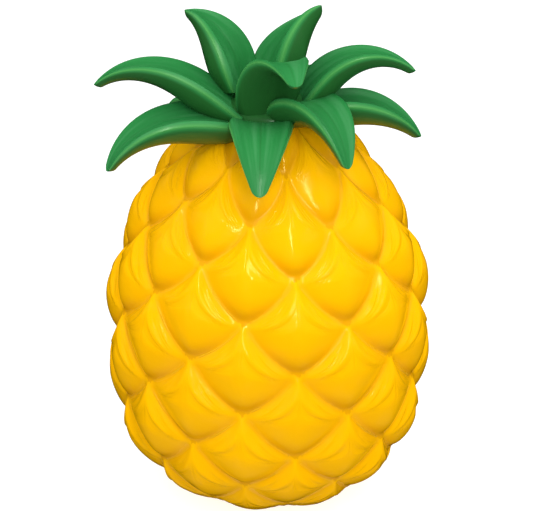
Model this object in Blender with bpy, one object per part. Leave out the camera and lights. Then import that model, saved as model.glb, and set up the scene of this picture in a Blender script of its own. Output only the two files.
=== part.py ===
# A moulded toy pineapple: a solid yellow body covered in scale-like eyes, a green disc on its top,
# and a crown of thick green leaves in two rings round that disc.
# Metres, +Z up. The origin is the middle of the flat foot, and the front of the pineapple faces -Y.

import math
from dataclasses import dataclass

import bmesh
import bpy
import numpy as np

MM = 0.001
GAP = 0.3 * MM                      # clear space between two pieces that touch

# Body: a smooth egg, measured where the creases between the eyes lie
BODY_RADIUS = 59.8 * MM             # at the widest place
WIDEST_Z = 76.8 * MM                # height of the widest place above the foot
UPPER_REACH = 90.4 * MM             # from the widest place to where the egg would close at the top
LOWER_REACH = 78.3 * MM             # from the widest place to where it would close at the bottom
UPPER_ROUNDNESS = 1.64              # 2 is an ellipse, more is squarer, less is more pointed
LOWER_ROUNDNESS = 2.88
BODY_TOP_Z = 159.1 * MM             # the flat seat of the crown
SEAT_RADIUS = 18.5 * MM
FOOT_RADIUS = 22.0 * MM             # the flat the body stands on
PROFILE_STEPS = 600

# Eyes: nine in a ring, each ring turned by half an eye from the one above it
EYES_PER_RING = 9
HALF_EYE = math.pi / EYES_PER_RING  # angle from the middle of an eye to its side corner
FIRST_EYE_ANGLE = math.radians(10.7)
RING_STEP = 18.4 * MM               # along the skin, from one ring to the next
RING_AT_WIDEST = 4.15               # ring number, with a fraction, at the widest place
RING_TILT = 0.33                    # the rings sit askew, this many ring steps lower on one side
TILT_TOWARDS = math.radians(48)     # the low side, from the front towards the right
TOP_RING = -1
BOTTOM_RING = 6
EYE_CELLS = 6                       # grid squares along each side of an eye
CELL_CROWDING = 1.25                # above 1 the grid is finer towards the lower lip
SCALLOP = 0.05                      # how far the lower lips bow out, in ring steps
EYE_HEIGHT = 5.9 * MM               # before the slopes below lower it to about 4
FADE_RINGS = (0.0, 1.8, 6.6, 8.6)   # ring numbers between which the eyes rise and fade
FADE_SHARES = (0.55, 1.06, 1.0, 0.20)
ARM_AT = 0.59                       # where the spine opens into two arms, 0 apex to 1 lip
ARM_RISE = 0.06                     # how far the arms climb to the side corners
LEAST_ARM = 0.05
RIDGE_ROUND = 2.0                   # more makes the spine's back sharper
SPINE_WIDTH = 0.26
SPINE_POWER = 0.44                  # below 1 the spine is full near the apex
HOLLOW_POWER = 0.80                 # near 1 the hollows beside the spine are flat
SHOULDER_DROP = 0.50                # how much lower the arms are at the side corners
LIP_POWER = 3.0                     # how late the belly turns under
LIP_ROUND = 0.80
TIP_SQUARE = 14.0                   # more makes the lower tip more pointed
CLEAR_SPREAD = 0.12                 # how far the clearance reaches sideways, in eye sides
LIP_SAG = 0.15                      # how far the lip hangs over the crease, as a share of its height
FOOT_ROWS = ((8.6, 0.4), (8.95, 0.15))  # ring numbers under the last eyes, with the lift left there in mm

# Crown disc
DISC_RADIUS = 19.5 * MM
DISC_EDGE = 2.4 * MM                # height of its upright edge
DISC_DOME = 5.6 * MM                # height of the dome above the edge
DISC_SIDES = 32
DISC_RINGS = 5

# Leaves
LEAF_STATIONS = 13
TIP_STATIONS = 3
TIP_RADIUS = 2.1 * MM
TIP_DEPTH = 1.0 * MM                # how much fuller the keel is towards the tip
WIDEST_AT = 0.28                    # share of the length from root to the widest place
ROOT_WIDTH = 0.75                   # width at the root as a share of the widest
TIP_CLOSES_AT = math.radians(84)    # how far round the tip the last section lies
KEEL_TAPER = 0.15                   # how much shallower the keel is at the tip
VALLEY = 0.14                       # depth of the fold along the upper face, in half widths
RIM_AT = 0.90                       # crest of the rounded rim, from the middle line to the edge
RIM_LIFT = 0.05                     # height of the rounded rim above the face
RIM_DEPTH = 0.10
UPPER_FACE = (1.0, RIM_AT, 0.45, 0.0, -0.45, -RIM_AT, -1.0)
HULL_POINTS = 7

YELLOW = (0.95, 0.48, 0.002, 1.0)
GREEN = (0.035, 0.32, 0.075, 1.0)
YELLOW_ROUGHNESS = 0.25
GREEN_ROUGHNESS = 0.38


@dataclass
class Leaf:
    name: str
    root: tuple                     # middle of the upper face at the root, mm from the axis and the foot
    heading: float                  # degrees, 0 to the front, 90 to the right
    turn: float                     # how much the heading has changed at the tip
    rise: float                     # slope at the root, degrees above level
    fall: float                     # slope at the tip
    arch: float                     # above 1 most of the bend is near the tip
    length: float                   # mm
    half_width: float               # mm
    keel: float                     # depth of the underside, in half widths
    fullness: float                 # above 1 the leaf stays broad towards the tip
    root_twist: float = 0.0
    tip_twist: float = 0.0


LEAVES = [
    Leaf("leaf_outer_front", (-3.4, -11.1, 159.9), 0, -1, 29, -71, 1.2, 54.7, 12.3, 0.7, 1.65, 1, -7),
    Leaf("leaf_outer_front_right", (5.1, -5.3, 162.3), 37, -14, 50, -77, 1.06, 57.9, 13.7, 0.88, 1.8, 4, -30),
    Leaf("leaf_outer_right", (11.3, -4.7, 160.9), 87, 3, 38, -62, 1.05, 54.7, 12.6, 0.98, 2.1, -8, -2),
    Leaf("leaf_outer_back", (3.0, 11.0, 161.0), 165, 0, 34, -62, 1.1, 54.0, 12.4, 0.85, 1.7, 0, 0),
    Leaf("leaf_outer_back_left", (-11.5, 6.5, 160.8), -125, -4, 20, -68, 1.1, 42.0, 12.4, 0.85, 1.7, 0, 4),
    Leaf("leaf_outer_left", (-12.0, -12.0, 161.3), -66, 5, 18, -72, 1.8, 63.1, 13.4, 0.93, 1.85, -5, 13),
    Leaf("leaf_inner_left", (-11.1, -7.9, 162.9), -85, -2, 44, -50, 1.8, 64.8, 12.7, 0.95, 1.5, -3, 9),
    Leaf("leaf_inner_right", (9.8, -2.1, 164.7), 88, -6, 63, -47, 1.35, 56.6, 12.2, 0.9, 1.45, 11, -14),
    Leaf("leaf_inner_front", (-2.8, -7.2, 159.8), 20, -12, 79, -30, 1.25, 67.5, 13.0, 0.72, 1.75, -1, -2),
    Leaf("leaf_inner_back_left", (-9.1, 4.3, 168.2), -124, 8, 76, -13, 1.65, 42.6, 13.6, 1.0, 2.05, 10, 12),
    Leaf("leaf_inner_back_right", (-3.2, 4.8, 169.8), 120, -11, 90, 10, 0.9, 40.0, 14.9, 1.0, 2.1, -9, -32),
]


def clear_scene():
    for scene_object in list(bpy.data.objects):
        bpy.data.objects.remove(scene_object, do_unlink=True)


def make_material(name, colour, roughness):
    material = bpy.data.materials.new(name)
    material.use_nodes = True
    shader = material.node_tree.nodes["Principled BSDF"]
    shader.inputs["Base Color"].default_value = colour
    shader.inputs["Roughness"].default_value = roughness
    shader.inputs["Metallic"].default_value = 0.0
    material.diffuse_color = colour
    return material


def add_object(name, mesh_builder, material):
    """Turns a bmesh into an object, closed and with its faces pointing out."""
    bmesh.ops.recalc_face_normals(mesh_builder, faces=mesh_builder.faces)
    mesh = bpy.data.meshes.new(name)
    mesh_builder.to_mesh(mesh)
    mesh_builder.free()
    mesh.shade_smooth()
    if material:
        mesh.materials.append(material)
    made = bpy.data.objects.new(name, mesh)
    bpy.context.scene.collection.objects.link(made)
    return made


def hide_cutter(cutter, collection):
    """Keeps a cutting shape out of the finished model."""
    bpy.context.scene.collection.objects.unlink(cutter)
    collection.objects.link(cutter)
    cutter.hide_render = True
    cutter.display_type = "WIRE"


def egg_profile():
    """Points down the skin from the top: distance along it, radius, height and outward slope."""
    angles = np.linspace(0.0, math.pi, PROFILE_STEPS)
    upper = angles <= math.pi / 2
    power = np.where(upper, 2 / UPPER_ROUNDNESS, 2 / LOWER_ROUNDNESS)
    reach = np.where(upper, UPPER_REACH, LOWER_REACH)
    radius = BODY_RADIUS * np.abs(np.sin(angles)) ** power
    height = WIDEST_Z + reach * np.sign(np.cos(angles)) * np.abs(np.cos(angles)) ** power
    along = np.concatenate([[0.0], np.cumsum(np.hypot(np.diff(radius), np.diff(height)))])
    at_widest = np.interp(math.pi / 2, angles, along)
    ring = RING_AT_WIDEST + (along - at_widest) / RING_STEP
    radius_slope = np.gradient(radius, along)
    height_slope = np.gradient(height, along)
    return ring, radius, height, radius_slope, height_slope


PROFILE = egg_profile()


def skin_place(ring, lift):
    """Radius and height on the body at a ring number, lifted off the skin."""
    ring_numbers, radii, heights, radius_slopes, height_slopes = PROFILE
    down_radius = np.interp(ring, ring_numbers, radius_slopes)
    down_height = np.interp(ring, ring_numbers, height_slopes)
    radius = np.interp(ring, ring_numbers, radii) + lift * (LIP_SAG * down_radius - down_height)
    height = np.interp(ring, ring_numbers, heights) + lift * (LIP_SAG * down_height + down_radius)
    return radius, height


def skin_point(turns, ring, lift):
    """The place on the body at a number of half eyes round and a ring number down."""
    angle = FIRST_EYE_ANGLE + turns * HALF_EYE
    below_top = min(max((ring - TOP_RING) / 2, 0.0), 1.0)
    above_foot = min(max((BOTTOM_RING + 2 - ring) / 2, 0.0), 1.0)
    tilt = RING_TILT * below_top * above_foot * math.cos(angle - TILT_TOWARDS)
    radius, height = skin_place(ring + tilt, lift)
    return (radius * math.sin(angle), -radius * math.cos(angle), height)


def eye_lift(right, left):
    """Height of an eye over the skin. Both run from 0 at the apex's side to 1 at the lip."""
    if min(right, left) <= 0:
        return 0.0
    across = abs(right - left)
    inward = (2 / (right ** -RIDGE_ROUND + left ** -RIDGE_ROUND)) ** (1 / RIDGE_ROUND)
    arm = ARM_AT - ARM_RISE * across ** 2 - across / 2
    climb = min(inward / max(arm, LEAST_ARM), 1.0)
    on_spine = math.exp(-(across / SPINE_WIDTH) ** 2)
    power = HOLLOW_POWER - (HOLLOW_POWER - SPINE_POWER) * on_spine
    rise = math.sin(climb * math.pi / 2) ** power
    shoulder = 1 - SHOULDER_DROP * across ** 1.5
    lower = (right ** TIP_SQUARE + left ** TIP_SQUARE) ** (1 / TIP_SQUARE)
    lip = max(1 - lower ** LIP_POWER, 0.0) ** LIP_ROUND
    return EYE_HEIGHT * shoulder * rise * lip


def build_body(name, swell, material):
    """The body, swollen a little where it serves to keep its neighbours clear."""
    body = bmesh.new()
    places = {}
    span = 2 * EYES_PER_RING * EYE_CELLS
    fractions = [1 - (1 - step / EYE_CELLS) ** CELL_CROWDING for step in range(EYE_CELLS + 1)]

    def corner(ring, start, step_right, step_left):
        down_key = ring * EYE_CELLS + step_right + step_left
        round_key = (start * EYE_CELLS + step_right - step_left) % span
        key = (down_key, round_key)
        if key not in places:
            right = fractions[step_right]
            left = fractions[step_left]
            bow_right = SCALLOP * math.sin(math.pi * right)
            bow_left = SCALLOP * math.sin(math.pi * left)
            turns = start + right - left + bow_left - bow_right
            down = ring + right + left + bow_left + bow_right
            lift = eye_lift(right, left)
            if swell:
                inner = (max(right - CLEAR_SPREAD, 0.0), max(left - CLEAR_SPREAD, 0.0))
                outer = (min(right + CLEAR_SPREAD, 1.0), min(left + CLEAR_SPREAD, 1.0))
                lift = max(lift, eye_lift(*inner), eye_lift(*outer))
            lift = lift * np.interp(down, FADE_RINGS, FADE_SHARES) + swell
            places[key] = body.verts.new(skin_point(turns, down, lift))
        return places[key]

    for ring in range(TOP_RING - 1, BOTTOM_RING + 2):
        for eye in range(EYES_PER_RING):
            start = 2 * eye + ring % 2
            for right in range(EYE_CELLS):
                for left in range(EYE_CELLS):
                    near_apex = right + left < EYE_CELLS - 1
                    near_tip = right + left > EYE_CELLS - 1
                    on_middle = right + left == EYE_CELLS - 1
                    corners = [(right, left), (right + 1, left), (right + 1, left + 1), (right, left + 1)]
                    if ring < TOP_RING and near_apex or ring > BOTTOM_RING and near_tip:
                        continue
                    if on_middle and ring < TOP_RING:
                        corners = corners[1:]
                    if on_middle and ring > BOTTOM_RING:
                        corners = [corners[0], corners[1], corners[3]]
                    body.faces.new([corner(ring, start, *place) for place in corners])

    close_end(body, places, TOP_RING * EYE_CELLS, [(SEAT_RADIUS + swell, BODY_TOP_Z + swell)])
    circles = [skin_place(ring, lift * MM + swell) for ring, lift in FOOT_ROWS]
    circles.append((FOOT_RADIUS + swell, -swell))
    close_end(body, places, (BOTTOM_RING + 2) * EYE_CELLS, circles)
    return add_object(name, body, material)


def close_end(body, places, row_key, circles):
    """Carries the open edge of the eyes through circles of a radius and height, and caps the last one."""
    edge = [(key[1], vertex) for key, vertex in places.items() if key[0] == row_key]
    edge.sort(key=lambda item: item[0])
    loop = [vertex for _, vertex in edge]
    for radius, height in circles:
        angles = [math.atan2(vertex.co.x, -vertex.co.y) for vertex in loop]
        circle = [(radius * math.sin(angle), -radius * math.cos(angle), height) for angle in angles]
        fresh = [body.verts.new(place) for place in circle]
        for index in range(len(loop)):
            after = (index + 1) % len(loop)
            body.faces.new([loop[index], loop[after], fresh[after], fresh[index]])
        loop = fresh
    body.faces.new(loop)


def build_disc(name, swell, material):
    """A low dome with an upright edge, turned from its half outline."""
    outline = [(0.0, -swell), (DISC_RADIUS + swell, -swell), (DISC_RADIUS + swell, DISC_EDGE)]
    for step in range(1, DISC_RINGS):
        angle = step / DISC_RINGS * math.pi / 2
        radius = (DISC_RADIUS + swell) * math.cos(angle)
        outline.append((radius, DISC_EDGE + (DISC_DOME + swell) * math.sin(angle)))
    outline.append((0.0, DISC_EDGE + DISC_DOME + swell))
    disc = bmesh.new()
    seat = BODY_TOP_Z + GAP
    points = [disc.verts.new((radius, 0.0, seat + height)) for radius, height in outline]
    edges = [disc.edges.new(pair) for pair in zip(points, points[1:])]
    bmesh.ops.spin(disc, geom=points + edges, cent=(0, 0, 0), axis=(0, 0, 1), angle=math.tau,
                   steps=DISC_SIDES, use_duplicate=False)
    bmesh.ops.remove_doubles(disc, verts=disc.verts, dist=0.01 * MM)
    return add_object(name, disc, material)


def leaf_stations(leaf):
    """Shares of the length with the half width there, closing with a round tip."""
    length = leaf.length * MM
    half_width = leaf.half_width * MM
    tip_start = 1 - TIP_RADIUS / length
    stations = []
    for step in range(LEAF_STATIONS):
        share = tip_start * step / (LEAF_STATIONS - 1)
        stations.append((share, 1.0))
    for step in range(1, TIP_STATIONS + 1):
        angle = TIP_CLOSES_AT * step / TIP_STATIONS
        stations.append((tip_start + (1 - tip_start) * math.sin(angle), math.cos(angle)))
    shaped = []
    for share, tip in stations:
        if share < WIDEST_AT:
            outline = ROOT_WIDTH + (1 - ROOT_WIDTH) * math.sin(share / WIDEST_AT * math.pi / 2)
        else:
            outline = 1 - ((share - WIDEST_AT) / (1 - WIDEST_AT)) ** leaf.fullness
        shaped.append((share, (TIP_RADIUS + (half_width - TIP_RADIUS) * outline) * tip))
    return shaped


def leaf_frame(leaf, share):
    """Directions along, across and up from the leaf at a share of its length."""
    heading = math.radians(leaf.heading + leaf.turn * share ** 1.5)
    slope = math.radians(leaf.rise + (leaf.fall - leaf.rise) * share ** leaf.arch)
    twist = math.radians(leaf.root_twist + (leaf.tip_twist - leaf.root_twist) * share)
    outward = np.array([math.sin(heading), -math.cos(heading), 0.0])
    sideways = np.array([math.cos(heading), math.sin(heading), 0.0])
    upward = np.array([0.0, 0.0, 1.0])
    along = math.cos(slope) * outward + math.sin(slope) * upward
    normal = math.cos(slope) * upward - math.sin(slope) * outward
    across = math.cos(twist) * sideways + math.sin(twist) * normal
    up = math.cos(twist) * normal - math.sin(twist) * sideways
    return along, across, up


def leaf_section(half_width, keel, swell):
    """Outline of a leaf cut across: a folded upper face, round rims and a boat-shaped underside."""
    outline = []
    for place in UPPER_FACE:
        if abs(place) == 1.0:
            height = -RIM_DEPTH * half_width
        elif abs(place) == RIM_AT:
            height = RIM_LIFT * half_width
        else:
            height = -VALLEY * half_width * (1 - abs(place))
        outline.append((place * (half_width + swell), height + swell))
    for point in range(1, HULL_POINTS + 1):
        angle = math.pi + math.pi * point / (HULL_POINTS + 1)
        depth = RIM_DEPTH * half_width + (keel - RIM_DEPTH * half_width) * -math.sin(angle)
        outline.append(((half_width + swell) * math.cos(angle), -depth - swell))
    return outline


def build_leaf(leaf, name, swell, material):
    """Lofts the section along the leaf's arc, closing both ends."""
    shape = bmesh.new()
    place = np.array(leaf.root) * MM
    reached = 0.0
    rows = []
    for share, half_width in leaf_stations(leaf):
        middle = leaf_frame(leaf, (share + reached) / 2)[0]
        place = place + middle * (share - reached) * leaf.length * MM
        reached = share
        _, across, up = leaf_frame(leaf, share)
        keel = leaf.keel * half_width * (1 - KEEL_TAPER * share)
        keel += TIP_DEPTH * share ** 4 * min(half_width / TIP_RADIUS, 1.0)
        section = leaf_section(half_width, keel, swell)
        rows.append([shape.verts.new(place + across * side + up * height) for side, height in section])
    for row, following in zip(rows, rows[1:]):
        for index in range(len(row)):
            after = (index + 1) % len(row)
            shape.faces.new([row[index], row[after], following[after], following[index]])
    shape.faces.new(rows[0])
    shape.faces.new(rows[-1])
    return add_object(name, shape, material)


def cut_with(target, cutters):
    """Cuts the clearance of its neighbours off a leaf. Some meet it at very shallow angles, and this solver
    leaves those cuts closed."""
    for cutter in cutters:
        cut = target.modifiers.new("clear of " + cutter.name, "BOOLEAN")
        cut.operation = "DIFFERENCE"
        cut.solver = "MANIFOLD"
        cut.object = cutter


def build_pineapple():
    clear_scene()
    yellow = make_material("yellow_plastic", YELLOW, YELLOW_ROUGHNESS)
    green = make_material("green_plastic", GREEN, GREEN_ROUGHNESS)
    cutters = bpy.data.collections.new("cutters")
    bpy.context.scene.collection.children.link(cutters)

    build_body("body", 0.0, yellow)
    build_disc("crown_disc", 0.0, green)
    body_cutter = build_body("body_clearance", GAP, None)
    hide_cutter(body_cutter, cutters)
    disc_cutter = build_disc("disc_clearance", GAP, None)
    hide_cutter(disc_cutter, cutters)

    in_the_way = [body_cutter, disc_cutter]
    for leaf in LEAVES:
        made = build_leaf(leaf, leaf.name, 0.0, green)
        cut_with(made, in_the_way)
        clearance = build_leaf(leaf, leaf.name + "_clearance", GAP, None)
        hide_cutter(clearance, cutters)
        in_the_way.append(clearance)


build_pineapple()
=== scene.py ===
# %% [markdown]
# # A moulded plastic pineapple
# The piece is a glossy imitation of the fruit: one yellow body covered in raised eyes, a small green disc
# on its top, and eleven thick green leaves that were moulded flat, bent over a former and stuck round it.
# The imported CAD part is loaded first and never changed. It says where everything is, and each piece below
# is a finer copy of one of its nodes, in the same place and at the same size.

import math

import bmesh
import bpy
import numpy as np
from mathutils import Matrix, Vector


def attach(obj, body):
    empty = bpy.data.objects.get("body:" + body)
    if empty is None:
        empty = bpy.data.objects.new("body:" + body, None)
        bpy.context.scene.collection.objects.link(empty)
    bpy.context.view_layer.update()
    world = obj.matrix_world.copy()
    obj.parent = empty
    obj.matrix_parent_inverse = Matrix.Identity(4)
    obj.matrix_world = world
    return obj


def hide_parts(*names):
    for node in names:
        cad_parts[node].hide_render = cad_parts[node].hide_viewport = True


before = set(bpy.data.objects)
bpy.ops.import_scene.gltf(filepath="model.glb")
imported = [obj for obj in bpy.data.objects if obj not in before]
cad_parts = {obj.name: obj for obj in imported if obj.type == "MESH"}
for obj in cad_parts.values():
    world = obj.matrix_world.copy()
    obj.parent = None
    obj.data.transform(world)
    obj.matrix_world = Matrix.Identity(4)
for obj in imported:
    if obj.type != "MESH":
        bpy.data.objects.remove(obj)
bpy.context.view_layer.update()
MM = 0.001

# %% [markdown]
# ## The camera
# The picture looks down on the pineapple by about 25 degrees, from a metre away through a long lens, so
# that near and far eyes have almost the same size. A long lens is a number of millimetres in Blender's
# camera. The camera's own turn is made from the direction it looks in, with half a degree of roll.

# %% Place the camera
IMAGE_WIDTH = 533
PIXELS_AT_ONE_METRE = 2500
VIEW_ELEVATION = math.radians(25)
VIEW_ROLL = math.radians(0.5)
MIDDLE_HEIGHT = 76.8 * MM
MIDDLE_BELOW_CENTRE = 49.0          # pixels from the picture's centre to the body's middle
MIDDLE_RIGHT_OF_CENTRE = 2.5

middle = Vector((0.0, 0.0, MIDDLE_HEIGHT))
back = Vector((0.0, -math.cos(VIEW_ELEVATION), math.sin(VIEW_ELEVATION)))
image_up = Vector((0.0, math.sin(VIEW_ELEVATION), math.cos(VIEW_ELEVATION)))
image_right = Vector((1.0, 0.0, 0.0))
looking = image_up * MIDDLE_BELOW_CENTRE - image_right * MIDDLE_RIGHT_OF_CENTRE - back * PIXELS_AT_ONE_METRE

bpy.ops.object.camera_add(location=middle + back)
camera = bpy.context.object
camera.name = "camera"
camera.data.lens = PIXELS_AT_ONE_METRE / IMAGE_WIDTH * camera.data.sensor_width
camera.rotation_mode = "QUATERNION"
level = looking.to_track_quat("-Z", "Y")
camera.rotation_quaternion = level @ Matrix.Rotation(VIEW_ROLL, 3, "Z").to_quaternion()
bpy.context.scene.camera = camera
print("lens in mm:", round(camera.data.lens, 1))

# %% [markdown]
# ## The floor
# A product like this is shot on a white sheet. One large plane does for it. It glows a little, so that it
# stays white round the piece, and its light is kept off the piece, because the world below gives that light.

# %% Lay the floor
FLOOR_SIZE = 6.0
FLOOR_SHADE = (0.35, 0.35, 0.35, 1.0)
FLOOR_ROUGHNESS = 0.8
FLOOR_GLOW = 0.80
WHITE = (1.0, 1.0, 1.0, 1.0)


def new_material(name):
    """A material, and the Principled shader in it."""
    material = bpy.data.materials.new(name)
    material.use_nodes = True
    return material, material.node_tree.nodes["Principled BSDF"]


bpy.ops.mesh.primitive_plane_add(size=FLOOR_SIZE)
floor = bpy.context.object
floor.name = "floor"
floor_white, floor_shader = new_material("floor_white")
floor_shader.inputs["Base Color"].default_value = FLOOR_SHADE
floor_shader.inputs["Roughness"].default_value = FLOOR_ROUGHNESS
floor_shader.inputs["Emission Color"].default_value = WHITE
floor_shader.inputs["Emission Strength"].default_value = FLOOR_GLOW
floor.data.materials.append(floor_white)
floor.visible_diffuse = False
floor.visible_glossy = False
print("floor at height", floor.location.z)

# %% [markdown]
# ## The light
# The light in the picture is soft all round and stronger from above, with some thrown back up by the sheet.
# A world whose strength follows its height gives that. The pale streaks on the spines and folds are the
# mirror image of a tall, narrow soft box over the camera, so only that box is seen by the polish. Three
# cards brighten the sides and the lower half. View transform Standard keeps the yellow as strong as it is.

# %% Hang the lights
LIGHT_FROM_BELOW = 0.15
LIGHT_FROM_FLOOR = 2.1
LIGHT_FROM_ABOVE = 1.62
CLIMB_HEIGHTS = (-0.25, 0.8)        # a direction's height runs from -1 below to 1 above
FLOOR_HEIGHTS = (-0.5, -1.0)
SOFT_BOXES = (                      # name, place, width, height and watts
    ("front_box", (0.12, -0.75, 0.62), 0.09, 0.62, 3.0),
    ("right_card", (0.85, -0.30, 0.45), 0.40, 0.40, 1.2),
    ("left_card", (-0.80, -0.45, 0.40), 0.40, 0.40, 0.9),
    ("low_card", (-0.10, -0.95, 0.22), 0.50, 0.30, 0.75),
)


def soft_box(name, place, width, height, watts):
    """An area light that faces the body's middle."""
    bpy.ops.object.light_add(type="AREA", location=place)
    light = bpy.context.object
    light.name = name
    light.data.shape = "RECTANGLE"
    light.data.size = width
    light.data.size_y = height
    light.data.energy = watts
    light.rotation_mode = "QUATERNION"
    light.rotation_quaternion = (middle - Vector(place)).to_track_quat("-Z", "Y")
    return light


def studio_world():
    """Soft light all round, stronger from above, with a white backdrop for the camera."""
    world = bpy.data.worlds.new("studio")
    world.use_nodes = True
    nodes = world.node_tree.nodes
    links = world.node_tree.links
    direction = nodes.new("ShaderNodeTexCoord")
    split = nodes.new("ShaderNodeSeparateXYZ")
    total = nodes.new("ShaderNodeMath")
    seen = nodes.new("ShaderNodeLightPath")
    white = nodes.new("ShaderNodeBackground")
    mix = nodes.new("ShaderNodeMixShader")
    links.new(direction.outputs["Generated"], split.inputs["Vector"])
    labels = ("From Min", "From Max", "To Min", "To Max")
    ranges = ((*CLIMB_HEIGHTS, LIGHT_FROM_BELOW, LIGHT_FROM_ABOVE), (*FLOOR_HEIGHTS, 0.0, LIGHT_FROM_FLOOR))
    for term, numbers in zip(total.inputs, ranges):
        part = nodes.new("ShaderNodeMapRange")
        for label, number in zip(labels, numbers):
            part.inputs[label].default_value = number
        links.new(split.outputs["Z"], part.inputs["Value"])
        links.new(part.outputs["Result"], term)
    links.new(total.outputs["Value"], nodes["Background"].inputs["Strength"])
    nodes["Background"].inputs["Color"].default_value = WHITE
    white.inputs["Color"].default_value = WHITE
    links.new(seen.outputs["Is Camera Ray"], mix.inputs["Fac"])
    links.new(nodes["Background"].outputs["Background"], mix.inputs[1])
    links.new(white.outputs["Background"], mix.inputs[2])
    links.new(mix.outputs["Shader"], nodes["World Output"].inputs["Surface"])
    world.cycles_visibility.glossy = False
    return world


bpy.context.scene.world = studio_world()
bpy.context.scene.view_settings.view_transform = "Standard"
for box in SOFT_BOXES:
    light = soft_box(*box)
    light.visible_glossy = light.name == "front_box"
print("lights:", [box[0] for box in SOFT_BOXES])

# %% [markdown]
# ## The outline of the body
# Without its eyes the body is a smooth egg, a little squarer below than above. An egg can be modelled from
# a sphere by pulling, but here the eyes have to follow it exactly, so the outline is kept as two curves:
# radius and height for each distance along the skin. The distance is counted in rings of eyes.

# %% Draw the outline
BODY_RADIUS = 59.8 * MM
UPPER_REACH = 90.4 * MM             # from the widest place to where the egg would close at the top
LOWER_REACH = 78.3 * MM
UPPER_ROUNDNESS = 1.64              # 2 is an ellipse, more is squarer
LOWER_ROUNDNESS = 2.88
RING_STEP = 18.4 * MM
RING_AT_WIDEST = 4.15
OUTLINE_STEPS = 2000

swing = np.linspace(0.0, math.pi, OUTLINE_STEPS)
upper_half = swing <= math.pi / 2
outline_power = np.where(upper_half, 2 / UPPER_ROUNDNESS, 2 / LOWER_ROUNDNESS)
outline_reach = np.where(upper_half, UPPER_REACH, LOWER_REACH)
outline_radius = BODY_RADIUS * np.abs(np.sin(swing)) ** outline_power
turned = np.cos(swing)
outline_height = MIDDLE_HEIGHT + outline_reach * np.sign(turned) * np.abs(turned) ** outline_power
steps_along = np.hypot(np.diff(outline_radius), np.diff(outline_height))
along_skin = np.concatenate([[0.0], np.cumsum(steps_along)])
outline_ring = RING_AT_WIDEST + (along_skin - np.interp(math.pi / 2, swing, along_skin)) / RING_STEP
radius_slope = np.gradient(outline_radius, along_skin)
height_slope = np.gradient(outline_height, along_skin)
print("rings from", round(outline_ring[0], 2), "to", round(outline_ring[-1], 2))

# %% [markdown]
# ## One eye
# Each eye is a soft scale. A narrow spine runs down from its apex and opens into two arms that reach the
# side corners, like an anchor. Hollows with one or two fine folds lie beside the spine, and under the arms
# a smooth belly swells and tucks in at the lower lips. The eye is modelled flat as a square of cloth on its
# corner: x runs from the apex along one upper side and y along the other, and z is how high it stands.

# %% Make the net of one eye
EYE_CELLS = 32


def vertex_places(thing):
    """All vertices of a mesh object as rows of x, y and z."""
    places = np.empty(len(thing.data.vertices) * 3)
    thing.data.vertices.foreach_get("co", places)
    return places.reshape(-1, 3)


def move_vertices(thing, places):
    thing.data.vertices.foreach_set("co", places.ravel())
    thing.data.update()


bpy.ops.mesh.primitive_grid_add(x_subdivisions=EYE_CELLS, y_subdivisions=EYE_CELLS, size=1.0,
                                location=(0.5, 0.5, 0.0))
one_eye = bpy.context.object
one_eye.name = "one_eye"
bpy.ops.object.transform_apply(location=True)
print("one eye:", len(one_eye.data.polygons), "faces")

# %% [markdown]
# The relief is a product of simple curves, because a sculpted eye would have to be matched by hand along all
# four sides. Every curve is zero on the border, so neighbouring eyes meet in a crease without a gap. The
# grid lines are first crowded towards the border, where the crease needs them.

# %% Raise the relief
EYE_HEIGHT = 5.9 * MM
ARM_AT = 0.59                       # how far down the spine the arms leave it, as a share of the eye
ARM_RISE = 0.06
LEAST_ARM = 0.05
RIDGE_ROUND = 2.0
SPINE_WIDTH = 0.26
SPINE_POWER = 0.44
HOLLOW_POWER = 0.80
SHOULDER_DROP = 0.50
SHOULDER_POWER = 1.5
LIP_POWER = 3.0
LIP_ROUND = 0.80
TIP_ROUND = 14.0
SADDLE_CORNERS = ((0, 0), (1, 1), (-1, 1), (0, 2))      # the apex, the two sides and the lips' tip
SADDLE_HEIGHT = 1.6 * MM
SADDLE_WIDTH = 0.13
SADDLE_DEPTH = 0.13
CROWDING = 0.30
FOLD_HEIGHT = 0.55 * MM
FOLD_COUNT = 3.0
FOLDS_BEGIN = (0.03, 0.15)          # in turns of the fan, from the spine to the upper border
FOLDS_END = (0.85, 0.60)
FOLDS_DOWN = (0.08, 0.30)           # from the apex to the lips' tip
FOLDS_OUT = (0.85, 0.45)            # from the spine to the side
NEARLY_0, NEARLY_1 = 1e-4, 0.9999   # keep a logarithm from running away
TINY = 1e-6                         # keeps a power from dividing by zero


def crowd_to_ends(share):
    """Keeps 0, a half and 1, and draws the rest towards 0 and 1."""
    return share - CROWDING * np.sin(2 * np.pi * share) / (2 * np.pi)


def smooth_step(low, high, value):
    share = np.clip((value - low) / (high - low), 0.0, 1.0)
    return share * share * (3 - 2 * share)


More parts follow.
